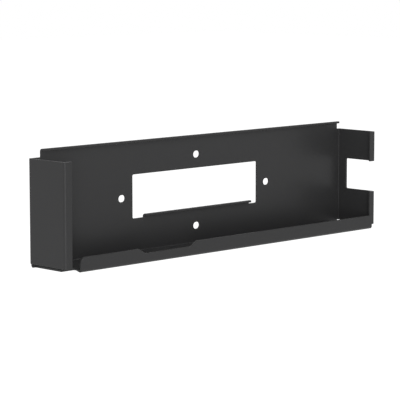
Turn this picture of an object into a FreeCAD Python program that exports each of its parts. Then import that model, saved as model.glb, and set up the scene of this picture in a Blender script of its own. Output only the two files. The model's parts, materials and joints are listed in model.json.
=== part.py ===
import FreeCAD, Part
import math
import os

import Sketcher

# Wall bracket for a game console: one steel sheet, cut flat and folded. The console stands
# in it on a shelf, held by a low lip in front and a panel with a narrow lip at each end.
# Lengths are in millimetres. X runs along the bracket, Y into the wall and Z up.
# The origin is the middle of the four screw slots, on the face that lies on the wall.

SIZES = {
    # The sheet and its folds
    "thickness": 1.5,
    "inner_bend": 0.5,
    # The back plate: overall length, and its reach above and below the screw slots
    "length": 300.0,
    "top_rise": 38.9,
    "shelf_drop": 38.2,
    # The narrow flange along the top, and how far its ends stop short of the side panels
    "flange_depth": 4.0,
    "flange_inset_left": 9.9,
    "flange_inset_right": 3.6,
    # The side panels: wall to front face, the step down from the flange, the gap over the shelf
    "side_depth": 36.25,
    "side_step": 5.6,
    "side_gap": 1.4,
    "side_lip": 6.0,
    # The cut-out in the right side panel, for plugs and cables
    "notch_top": 11.45,
    "notch_bottom": 10.9,
    "notch_back": 8.7,
    "notch_corner": 1.0,
    # The window in the back plate
    "window_width": 120.7,
    "window_top": 15.5,
    "window_bottom": 14.45,
    "window_corner": 1.0,
    # The tab folded forward along the lower edge of the window, its ends from the middle
    "tab_left": 50.1,
    "tab_right": 52.3,
    "tab_drop": 11.9,
    "tab_depth": 4.0,
    # The screw slots: one pair apart along the bracket, one pair apart up it
    "slot_spacing": 140.0,
    "slot_rise": 50.0,
    "slot_length": 6.2,
    "slot_height": 4.85,
    # The shelf: the foot at the wall and the flat, both measured in from the side faces
    "foot_inset_left": 1.6,
    "foot_inset_right": 2.7,
    "shelf_inset_left": 4.4,
    "shelf_inset_right": 6.1,
    # The corner cut out of the shelf at its left front
    "corner_inset": 15.8,
    "corner_depth": 26.9,
    "corner_round": 1.0,
    # The front lip, which passes in front of the side lips
    "lip_clearance": 0.5,
    "lip_height": 10.0,
    "lip_inset_left": 11.5,
    "lip_inset_right": 5.4,
    "lip_round_left": 3.0,
    "lip_round_right": 1.0,
    # The lowered stretch of the front lip, placed from the middle of the bracket
    "dip_depth": 3.4,
    "dip_far": 88.5,
    "dip_near": 35.6,
    "dip_ramp_far": 5.9,
    "dip_ramp_near": 5.7,
    "dip_round": 2.0,
    # How far a cut starts outside the metal
    "cut_margin": 1.0,
}


class Size:
    """A length in millimetres, with the formula on the sheet of sizes that gives it."""

    def __init__(self, value, formula):
        self.value = value
        self.formula = formula

    def __add__(self, other):
        return Size(self.value + other.value, f"({self.formula} + {other.formula})")

    def __sub__(self, other):
        return Size(self.value - other.value, f"({self.formula} - {other.formula})")

    def __neg__(self):
        return Size(-self.value, f"(-1 * {self.formula})")

    def __truediv__(self, number):
        return Size(self.value / number, f"({self.formula} / {number})")

    def times(self, number):
        return Size(self.value * number, f"({self.formula} * {number})")


def size(name):
    return Size(SIZES[name], f"sizes.{name}")


doc = FreeCAD.newDocument("wall_bracket")

sheet = doc.addObject("Spreadsheet::Sheet", "sizes")
for row, (alias, number) in enumerate(SIZES.items(), 1):
    sheet.set(f"A{row}", alias.replace("_", " "))
    sheet.set(f"B{row}", str(number))
    sheet.setAlias(f"B{row}", alias)
doc.recompute()

bracket = doc.addObject("PartDesign::Body", "bracket")
bracket.Label = "bracket"
PLANES = {plane.Role: plane for plane in bracket.Origin.OriginFeatures}

ZERO = Size(0.0, "0")
HORIZONTAL_AXIS, VERTICAL_AXIS = -1, -2
START, END, CENTRE = range(1, 4)


def new_sketch(name, role, start):
    """Open a sketch on an origin plane, start away from it along its normal."""
    sketch = bracket.newObject("Sketcher::SketchObject", name)
    sketch.AttachmentSupport = [(PLANES[role], "")]
    sketch.MapMode = "FlatFace"
    sketch.setExpression("AttachmentOffset.Base.z", start.formula)
    return sketch


def bind(sketch, constraint, formula):
    """Add a dimension that follows a formula on the sheet of sizes."""
    index = sketch.addConstraint(constraint)
    sketch.setExpression(f"Constraints[{index}]", formula)


def place(sketch, geometry, point, across=None, up=None):
    """Dimension a point from the sketch's origin, or put it on the axis it lies on."""
    for distance, kind, axis in ((across, "DistanceX", VERTICAL_AXIS), (up, "DistanceY", HORIZONTAL_AXIS)):
        if distance is ZERO:
            sketch.addConstraint(Sketcher.Constraint("PointOnObject", geometry, point, axis))
        elif distance is not None:
            bind(sketch, Sketcher.Constraint(kind, geometry, point, distance.value), distance.formula)


def corner_arc(before, corner, after, radius):
    """Round a corner: the arc, how much of each line it takes, and whether it turns left."""
    to_before = (before - corner).normalize()
    to_after = (after - corner).normalize()
    half_angle = to_before.getAngle(to_after) / 2
    trim = radius / math.tan(half_angle)
    centre = corner + (to_before + to_after).normalize() * (radius / math.sin(half_angle))
    turns_left = to_after.cross(to_before).z > 0
    ends = [corner + to_before * trim, corner + to_after * trim]
    if not turns_left:
        ends.reverse()
    first, last = [math.atan2(end.y - centre.y, end.x - centre.x) for end in ends]
    if last < first:
        last += 2 * math.pi
    circle = Part.Circle(centre, FreeCAD.Vector(0, 0, 1), radius)
    return Part.ArcOfCircle(circle, first, last), trim, turns_left


def add_outline(sketch, corners):
    """Draw a closed outline from its corners, each (across, up) or (across, up, radius)."""
    count = len(corners)
    points = [FreeCAD.Vector(corner[0].value, corner[1].value, 0) for corner in corners]
    arcs = {}
    trims = [0.0] * count
    for i, corner in enumerate(corners):
        if len(corner) == 3:
            arc, trims[i], turns_left = corner_arc(
                points[i - 1], points[i], points[(i + 1) % count], corner[2].value)
            arcs[i] = (sketch.addGeometry(arc), turns_left)

    lines = []
    for i, point in enumerate(points):
        following = points[(i + 1) % count]
        along = (following - point).normalize()
        line = Part.LineSegment(point + along * trims[i], following - along * trims[(i + 1) % count])
        lines.append(sketch.addGeometry(line))

    for i, corner in enumerate(corners):
        previous = corners[i - 1]
        came_up = i > 0 and previous[0].formula == corner[0].formula
        came_across = i > 0 and previous[1].formula == corner[1].formula
        if came_up:
            sketch.addConstraint(Sketcher.Constraint("Vertical", lines[i - 1]))
        if came_across:
            sketch.addConstraint(Sketcher.Constraint("Horizontal", lines[i - 1]))
        across = None if came_up else corner[0]
        up = None if came_across else corner[1]
        if i in arcs:
            arc, turns_left = arcs[i]
            entry, leave = (START, END) if turns_left else (END, START)
            sketch.addConstraint(Sketcher.Constraint("Tangent", lines[i - 1], END, arc, entry))
            sketch.addConstraint(Sketcher.Constraint("Tangent", arc, leave, lines[i], START))
            bind(sketch, Sketcher.Constraint("Radius", arc, corner[2].value), corner[2].formula)
            apex = sketch.addGeometry(Part.Point(points[i]), True)
            sketch.addConstraint(Sketcher.Constraint("PointOnObject", apex, START, lines[i - 1]))
            sketch.addConstraint(Sketcher.Constraint("PointOnObject", apex, START, lines[i]))
            place(sketch, apex, START, across, up)
        else:
            sketch.addConstraint(Sketcher.Constraint("Coincident", lines[i - 1], END, lines[i], START))
            place(sketch, lines[i], START, across, up)


def add_slot(sketch, across, up):
    """Draw a screw slot with round ends, longer along the bracket than it is high."""
    radius = size("slot_height") / 2
    reach = (size("slot_length") - size("slot_height")) / 2
    left = across - reach
    right = across + reach
    low = up.value - radius.value
    high = up.value + radius.value
    quarter = math.pi / 2
    normal = FreeCAD.Vector(0, 0, 1)
    right_end = Part.Circle(FreeCAD.Vector(right.value, up.value, 0), normal, radius.value)
    left_end = Part.Circle(FreeCAD.Vector(left.value, up.value, 0), normal, radius.value)
    bottom = sketch.addGeometry(Part.LineSegment(
        FreeCAD.Vector(left.value, low, 0), FreeCAD.Vector(right.value, low, 0)))
    right_arc = sketch.addGeometry(Part.ArcOfCircle(right_end, -quarter, quarter))
    top = sketch.addGeometry(Part.LineSegment(
        FreeCAD.Vector(right.value, high, 0), FreeCAD.Vector(left.value, high, 0)))
    left_arc = sketch.addGeometry(Part.ArcOfCircle(left_end, quarter, 3 * quarter))
    loop = [bottom, right_arc, top, left_arc]
    for i, piece in enumerate(loop):
        sketch.addConstraint(Sketcher.Constraint("Tangent", loop[i - 1], END, piece, START))
    sketch.addConstraint(Sketcher.Constraint("Horizontal", bottom))
    sketch.addConstraint(Sketcher.Constraint("Equal", left_arc, right_arc))
    bind(sketch, Sketcher.Constraint("Radius", right_arc, radius.value), radius.formula)
    place(sketch, right_arc, CENTRE, right, up)
    place(sketch, left_arc, CENTRE, left)


def pad(name, sketch, run):
    """Add metal along the normal of the sketch's plane."""
    feature = bracket.newObject("PartDesign::Pad", name)
    feature.Profile = sketch
    feature.setExpression("Length", run.formula)
    doc.recompute()
    return feature


def cut(name, sketch, run):
    """Take metal away along the normal of the sketch's plane."""
    before = bracket.Shape.Volume
    feature = bracket.newObject("PartDesign::Pocket", name)
    feature.Profile = sketch
    feature.Reversed = True
    feature.setExpression("Length", run.formula)
    doc.recompute()
    if not feature.Shape.Volume < before:
        raise RuntimeError(f"{name} takes no metal away")
    return feature


def folded_outline(path):
    """Outline of a folded strip, from the corners of its outer face.

    Each corner is (across, up, in_across, in_up), where the last two say on which side
    the metal lies. Every corner but the two ends is a fold."""
    thickness = size("thickness")
    inner = size("inner_bend")
    outer = inner + thickness
    outer_face = []
    inner_face = []
    for i, (across, up, in_across, in_up) in enumerate(path):
        folds = 0 < i < len(path) - 1
        inside_across = across + thickness.times(in_across) if in_across else across
        inside_up = up + thickness.times(in_up) if in_up else up
        outer_face.append((across, up, outer) if folds else (across, up))
        inner_face.insert(0, (inside_across, inside_up, inner) if folds else (inside_across, inside_up))
    return outer_face + inner_face


# Levels and faces that more than one fold or cut lines up with
wall = ZERO
right_side = size("length") / 2
left_side = -right_side
top = size("top_rise")
bottom = -size("shelf_drop")
thickness = size("thickness")
margin = size("cut_margin")
shelf_top = bottom + thickness
side_top = top - size("side_step")
side_bottom = shelf_top + size("side_gap")
side_front = -size("side_depth")
lip_depth = size("side_depth") + size("lip_clearance") + thickness
lip_front = -lip_depth
lip_top = bottom + size("lip_height")

# Back plate with the two side panels and their narrow front lips, folded as one channel
channel = new_sketch("channel_profile", "XY_Plane", side_bottom)
add_outline(channel, folded_outline([
    (left_side + size("side_lip"), side_front, 0, 1),
    (left_side, side_front, 1, 1),
    (left_side, wall, 1, -1),
    (right_side, wall, -1, -1),
    (right_side, side_front, -1, 1),
    (right_side - size("side_lip"), side_front, 0, 1),
]))
pad("channel", channel, side_top - side_bottom)

# Top section of the back plate, which ends in a narrow flange folded forward
flange_left = left_side + size("flange_inset_left")
flange_right = right_side - size("flange_inset_right")
flange = new_sketch("top_flange_profile", "YZ_Plane", flange_left)
add_outline(flange, folded_outline([
    (wall, ZERO, -1, 0),
    (wall, top, -1, -1),
    (-size("flange_depth"), top, 0, -1),
]))
pad("top_flange", flange, flange_right - flange_left)

# Foot of the back plate, the shelf and the front lip, folded from one strip
foot_left = left_side + size("foot_inset_left")
foot_right = right_side - size("foot_inset_right")
shelf = new_sketch("shelf_profile", "YZ_Plane", foot_left)
add_outline(shelf, folded_outline([
    (wall, side_bottom, -1, 0),
    (wall, bottom, -1, 1),
    (lip_front, bottom, 1, 1),
    (lip_front, lip_top, 1, 0),
]))
pad("shelf", shelf, foot_right - foot_left)

# Ends of the shelf: narrower than the foot, with the left front corner cut out
foot_front = -thickness
shelf_left = left_side + size("shelf_inset_left")
shelf_right = right_side - size("shelf_inset_right")
corner_left = left_side + size("corner_inset")
corner_back = -size("corner_depth")
lip_left = left_side + size("lip_inset_left")
lip_right = right_side - size("lip_inset_right")
past_left = foot_left - margin
past_right = foot_right + margin
past_front = lip_front - margin
shelf_ends = new_sketch("shelf_ends_outline", "XY_Plane", bottom - margin)
add_outline(shelf_ends, [
    (past_left, past_front),
    (lip_left, past_front),
    (lip_left, side_front),
    (corner_left, corner_back, size("corner_round")),
    (shelf_left, corner_back),
    (shelf_left, foot_front),
    (past_left, foot_front),
])
add_outline(shelf_ends, [
    (lip_right, past_front),
    (past_right, past_front),
    (past_right, foot_front),
    (shelf_right, foot_front),
    (shelf_right, side_front),
    (lip_right, side_front),
])
cut("shelf_ends", shelf_ends, margin + thickness + size("side_gap") / 2)

# Outline of the front lip: its two ends with rounded corners, and the lowered stretch
over_lip = lip_top + margin
under_lip = bottom - margin
dip_bottom = lip_top - size("dip_depth")
dip_left = -size("dip_far")
dip_right = -size("dip_near")
lip_outline = new_sketch("lip_outline", "XZ_Plane", size("side_depth") + size("lip_clearance") / 2)
add_outline(lip_outline, [
    (past_left, under_lip),
    (lip_left, under_lip),
    (lip_left, lip_top, size("lip_round_left")),
    (dip_left, lip_top, size("dip_round")),
    (dip_left + size("dip_ramp_far"), dip_bottom, size("dip_round")),
    (dip_right - size("dip_ramp_near"), dip_bottom, size("dip_round")),
    (dip_right, lip_top, size("dip_round")),
    (lip_right, lip_top, size("lip_round_right")),
    (lip_right, under_lip),
    (past_right, under_lip),
    (past_right, over_lip),
    (past_left, over_lip),
])
cut("lip_outline_cut", lip_outline, lip_depth - size("side_depth") + margin)

# Window in the back plate
window_right = size("window_width") / 2
window_round = size("window_corner")
window = new_sketch("window_outline", "XZ_Plane", -margin)
add_outline(window, [
    (-window_right, -size("window_bottom"), window_round),
    (window_right, -size("window_bottom"), window_round),
    (window_right, size("window_top"), window_round),
    (-window_right, size("window_top"), window_round),
])
cut("window", window, thickness + margin.times(2))

# Tab folded forward along the window's lower edge, clear of both its corners
tab = new_sketch("tab_profile", "YZ_Plane", -size("tab_left"))
add_outline(tab, folded_outline([
    (wall, bottom / 2, -1, 0),
    (wall, -size("tab_drop"), -1, -1),
    (-size("tab_depth"), -size("tab_drop"), 0, -1),
]))
pad("window_tab", tab, size("tab_left") + size("tab_right"))

# Four screw slots
slot_across = size("slot_spacing") / 2
slot_up = size("slot_rise") / 2
slots = new_sketch("screw_slot_outlines", "XZ_Plane", -margin)
for slot_place in ((-slot_across, ZERO), (slot_across, ZERO), (ZERO, slot_up), (ZERO, -slot_up)):
    add_slot(slots, *slot_place)
cut("screw_slots", slots, thickness + margin.times(2))

# Cut-out through the right side panel and its lip, open to the front
notch_start = right_side - size("side_lip") - margin
notch_front = side_front - margin
notch_round = size("notch_corner")
notch = new_sketch("notch_outline", "YZ_Plane", notch_start)
add_outline(notch, [
    (notch_front, -size("notch_bottom")),
    (-size("notch_back"), -size("notch_bottom"), notch_round),
    (-size("notch_back"), size("notch_top"), notch_round),
    (notch_front, size("notch_top")),
])
cut("side_notch", notch, size("side_lip") + margin.times(2))

for item in doc.Objects:
    if {"Invalid", "Error"} & set(item.State):
        raise RuntimeError(f"{item.Name} did not compute")
folded = bracket.Shape
if folded.isNull() or not folded.isValid() or len(folded.Solids) != 1:
    raise RuntimeError("the bracket is not one sound solid")

os.makedirs("parts", exist_ok=True)
folded.exportStep(f"parts/{bracket.Label}.step")
box = folded.BoundBox
print(f"bracket: {box.XLength:.2f} x {box.YLength:.2f} x {box.ZLength:.2f} mm, {folded.Volume:.0f} mm3")
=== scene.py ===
import json
import math

import bpy
from mathutils import Matrix, Vector

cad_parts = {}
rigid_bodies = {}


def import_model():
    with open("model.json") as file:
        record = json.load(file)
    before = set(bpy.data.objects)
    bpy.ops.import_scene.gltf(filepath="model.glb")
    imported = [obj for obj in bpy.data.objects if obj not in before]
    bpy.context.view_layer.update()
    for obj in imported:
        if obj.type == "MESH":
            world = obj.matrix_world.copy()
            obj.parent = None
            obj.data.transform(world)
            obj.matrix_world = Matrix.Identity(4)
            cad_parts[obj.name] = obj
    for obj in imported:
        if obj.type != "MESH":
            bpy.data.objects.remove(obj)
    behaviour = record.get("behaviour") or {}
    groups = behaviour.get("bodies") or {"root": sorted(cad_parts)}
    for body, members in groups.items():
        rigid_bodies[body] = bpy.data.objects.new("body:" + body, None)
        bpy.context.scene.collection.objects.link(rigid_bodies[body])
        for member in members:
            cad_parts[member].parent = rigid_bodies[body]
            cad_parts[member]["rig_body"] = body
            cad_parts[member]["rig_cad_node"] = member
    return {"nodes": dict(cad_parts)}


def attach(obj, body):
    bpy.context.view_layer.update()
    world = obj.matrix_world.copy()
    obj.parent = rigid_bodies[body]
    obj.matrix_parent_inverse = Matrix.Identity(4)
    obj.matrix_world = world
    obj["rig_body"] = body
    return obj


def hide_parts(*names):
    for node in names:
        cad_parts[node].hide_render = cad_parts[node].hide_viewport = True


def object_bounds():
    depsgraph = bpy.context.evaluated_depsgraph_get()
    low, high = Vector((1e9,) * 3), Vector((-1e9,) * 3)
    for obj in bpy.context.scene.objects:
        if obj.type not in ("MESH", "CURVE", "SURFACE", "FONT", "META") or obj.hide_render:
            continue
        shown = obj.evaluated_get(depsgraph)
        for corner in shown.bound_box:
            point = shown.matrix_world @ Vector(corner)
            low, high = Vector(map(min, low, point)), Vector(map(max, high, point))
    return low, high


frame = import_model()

cad_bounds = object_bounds()

# The folded bracket is one blank of mild steel sheet, laser-cut with its slots, window and
# cut-out, bent on a press brake and powder coated black after folding. The coat rounds every
# cut edge a little and hides the grain of the steel.
COAT_EDGE_RADIUS = 0.00028
COAT_EDGE_STEPS = 3
SHARP_EDGE = math.radians(60)
SMOOTH_BEND = math.radians(40)
ONE_PLANE = math.radians(1)
FLAT_FACE_WEIGHT = 100
SLOT_COLUMNS = (-0.070, 0.0, 0.070)
MERGE_DISTANCE = 0.000005
COAT_COLOUR = (0.050, 0.050, 0.051)
COAT_SHEEN = 0.15
COAT_ROUGHNESS = 0.30
PEBBLE_ROUGHNESS = 0.12
PEBBLES_PER_METRE = 2600.0
PEBBLE_HEIGHT = 0.00008
PEBBLE_STRENGTH = 0.12
CLOUDS_PER_METRE = 22.0
CLOUD_SHADE = 0.10


class Flow:
    """A shader socket that takes part in sums and products, each of which adds its own node."""

    def __init__(self, tree, socket=None):
        self.tree = tree
        self.socket = socket

    def node(self, kind, settings=None, **inputs):
        made = self.tree.nodes.new(kind)
        for name, value in (settings or {}).items():
            setattr(made, name, value)
        for name, value in inputs.items():
            place = int(name[1:]) if name[1:].isdigit() else name.replace("_", " ")
            if isinstance(value, Flow):
                self.tree.links.new(value.socket, made.inputs[place])
            else:
                made.inputs[place].default_value = value
        return made

    def out(self, made, name=0):
        return Flow(self.tree, made.outputs[name])

    def math(self, operation, other):
        return self.out(self.node("ShaderNodeMath", {"operation": operation}, _0=self, _1=other))

    def __add__(self, other):
        return self.math("ADD", other)

    def __mul__(self, other):
        return self.math("MULTIPLY", other)

    __radd__ = __add__
    __rmul__ = __mul__


def empty_tree(holder):
    holder.use_nodes = True
    holder.node_tree.nodes.clear()
    return Flow(holder.node_tree)


def powder_coat():
    material = bpy.data.materials.new("powder_coat")
    start = empty_tree(material)
    place = start.out(start.node("ShaderNodeTexCoord"), "Object")
    pebble = start.out(start.node("ShaderNodeTexNoise", Vector=place, Scale=PEBBLES_PER_METRE))
    cloud = start.out(start.node("ShaderNodeTexNoise", Vector=place, Scale=CLOUDS_PER_METRE))
    bump = start.node("ShaderNodeBump", Strength=PEBBLE_STRENGTH, Distance=PEBBLE_HEIGHT, Height=pebble)
    shade = (1 - CLOUD_SHADE / 2) + CLOUD_SHADE * cloud
    colour = start.node("ShaderNodeVectorMath", {"operation": "SCALE"}, _0=COAT_COLOUR, Scale=shade)
    surface = start.node(
        "ShaderNodeBsdfPrincipled",
        Base_Color=start.out(colour),
        Roughness=COAT_ROUGHNESS + PEBBLE_ROUGHNESS * pebble,
        Specular_IOR_Level=COAT_SHEEN,
        Normal=start.out(bump))
    start.node("ShaderNodeOutputMaterial", Surface=start.out(surface))
    return material


cad_bracket = frame["nodes"]["bracket"]
bpy.ops.object.select_all(action="DESELECT")
coated = cad_bracket.copy()
coated.data = cad_bracket.data.copy()
coated.parent = None
coated.name = "coated_bracket"
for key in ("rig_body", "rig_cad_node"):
    if key in coated:
        del coated[key]
bpy.context.scene.collection.objects.link(coated)
coated.select_set(True)
bpy.context.view_layer.objects.active = coated
bpy.ops.object.mode_set(mode="EDIT")
bpy.ops.mesh.select_all(action="SELECT")
bpy.ops.mesh.remove_doubles(threshold=MERGE_DISTANCE)
for across in SLOT_COLUMNS:
    bpy.ops.mesh.select_all(action="SELECT")
    bpy.ops.mesh.bisect(plane_co=(across, 0, 0), plane_no=(1, 0, 0))
    bpy.ops.mesh.mark_seam()
bpy.ops.mesh.select_all(action="SELECT")
bpy.ops.mesh.dissolve_limited(angle_limit=ONE_PLANE, delimit={"SEAM"})
bpy.ops.object.mode_set(mode="OBJECT")
edges = coated.modifiers.new("coated_edges", "BEVEL")
edges.width = COAT_EDGE_RADIUS
edges.segments = COAT_EDGE_STEPS
edges.limit_method = "ANGLE"
edges.angle_limit = SHARP_EDGE
edges.use_clamp_overlap = False
bpy.ops.object.modifier_apply(modifier=edges.name)
# The rounding overshoots at three corners where a bend ends in a cut edge, so every vertex is
# held inside the box of the bare sheet. All three lie on the faces of that box.
for vertex in coated.data.vertices:
    vertex.co = [min(max(at, low), high) for at, low, high in zip(vertex.co, *cad_bounds)]
bpy.ops.object.shade_smooth_by_angle(angle=SMOOTH_BEND)
normals = coated.modifiers.new("flat_faces", "WEIGHTED_NORMAL")
normals.mode = "FACE_AREA"
normals.weight = FLAT_FACE_WEIGHT
normals.keep_sharp = True
bpy.ops.object.modifier_apply(modifier=normals.name)
coated.data.materials.clear()
coated.data.materials.append(powder_coat())
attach(coated, "root")
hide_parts("bracket")

# The studio is a white room with a white paper floor, well below the bracket, so that the
# soft shadow falls out of the picture. Floor and walls are brought up to plain white for
# the camera and in reflections, and stay dimmer as a light on the bracket.
FLOOR_SIDE = 12
FLOOR_HEIGHT = -0.25
FLOOR_COLOUR = (0.9, 0.9, 0.9, 1)
FLOOR_FILL = 0.80
ROOM_LIGHT = 0.34
WHITE = (1, 1, 1, 1)


def seen_straight(start):
    path = start.node("ShaderNodeLightPath")
    looks = ("Is Camera Ray", "Is Glossy Ray", "Is Transmission Ray")
    camera_look, glossy_look, clear_look = (start.out(path, look) for look in looks)
    return camera_look + glossy_look + clear_look


bpy.ops.mesh.primitive_plane_add(size=FLOOR_SIDE, location=(0, 0, FLOOR_HEIGHT))
floor = bpy.context.active_object
floor.name = "floor"
paper = bpy.data.materials.new("paper_floor")
paper_start = empty_tree(paper)
lit_paper = paper_start.node("ShaderNodeBsdfDiffuse", Color=FLOOR_COLOUR)
fill = paper_start.node("ShaderNodeEmission", Strength=FLOOR_FILL * seen_straight(paper_start))
both = paper_start.node("ShaderNodeAddShader", _0=paper_start.out(lit_paper), _1=paper_start.out(fill))
paper_start.node("ShaderNodeOutputMaterial", Surface=paper_start.out(both))
floor.data.materials.append(paper)

room = bpy.data.worlds.new("white_room")
bpy.context.scene.world = room
room_start = empty_tree(room)
room_level = ROOM_LIGHT + (1 - ROOM_LIGHT) * seen_straight(room_start)
walls = room_start.node("ShaderNodeBackground", Color=WHITE, Strength=room_level)
room_start.node("ShaderNodeOutputWorld", Surface=room_start.out(walls))


# Three soft boxes stand on the camera's side, all aimed at the bracket: one beside the camera,
# a low strip that brightens the bends, and a large one above them.
def softbox(name, place, width, height, watts):
    lamp = bpy.data.lights.new(name, "AREA")
    lamp.shape = "RECTANGLE"
    lamp.size = width
    lamp.size_y = height
    lamp.energy = watts
    holder = bpy.data.objects.new(name, lamp)
    holder.location = place
    holder.rotation_euler = (-Vector(place)).to_track_quat("-Z", "Y").to_euler()
    bpy.context.scene.collection.objects.link(holder)


softbox("beside_camera", place=(-1.33, -1.47, 0.28), width=0.5, height=0.5, watts=6.5)
softbox("low_strip", place=(-1.34, -1.48, -0.10), width=0.8, height=0.3, watts=4.8)
softbox("overhead", place=(-0.71, -1.22, 1.41), width=1.0, height=1.0, watts=4.5)

# The camera stands to the left of the bracket and a little above it, far off with a long
# lens, as in a product photograph. Its place is in metres, its turns are in degrees.
CAMERA_PLACE = Vector((-0.948648, -0.974704, 0.167609))
CAMERA_TURN_RIGHT = 44.3645
CAMERA_PITCH_DOWN = 7.3289
CAMERA_ROLL = -0.0503
FOCAL_PIXELS = 1964.59
PHOTO_PIXELS = 400
SENSOR_WIDTH_MM = 36

camera_data = bpy.data.cameras.new("camera")
camera_data.sensor_width = SENSOR_WIDTH_MM
camera_data.lens = FOCAL_PIXELS * SENSOR_WIDTH_MM / PHOTO_PIXELS
camera_data.clip_end = 20
camera = bpy.data.objects.new("camera", camera_data)
turn = Matrix.Rotation(math.radians(-CAMERA_TURN_RIGHT), 4, "Z")
pitch = Matrix.Rotation(math.radians(90 - CAMERA_PITCH_DOWN), 4, "X")
roll = Matrix.Rotation(math.radians(CAMERA_ROLL), 4, "Z")
camera.matrix_world = Matrix.Translation(CAMERA_PLACE) @ turn @ pitch @ roll
bpy.context.scene.collection.objects.link(camera)
bpy.context.scene.camera = camera
bpy.context.scene.view_settings.view_transform = "Standard"
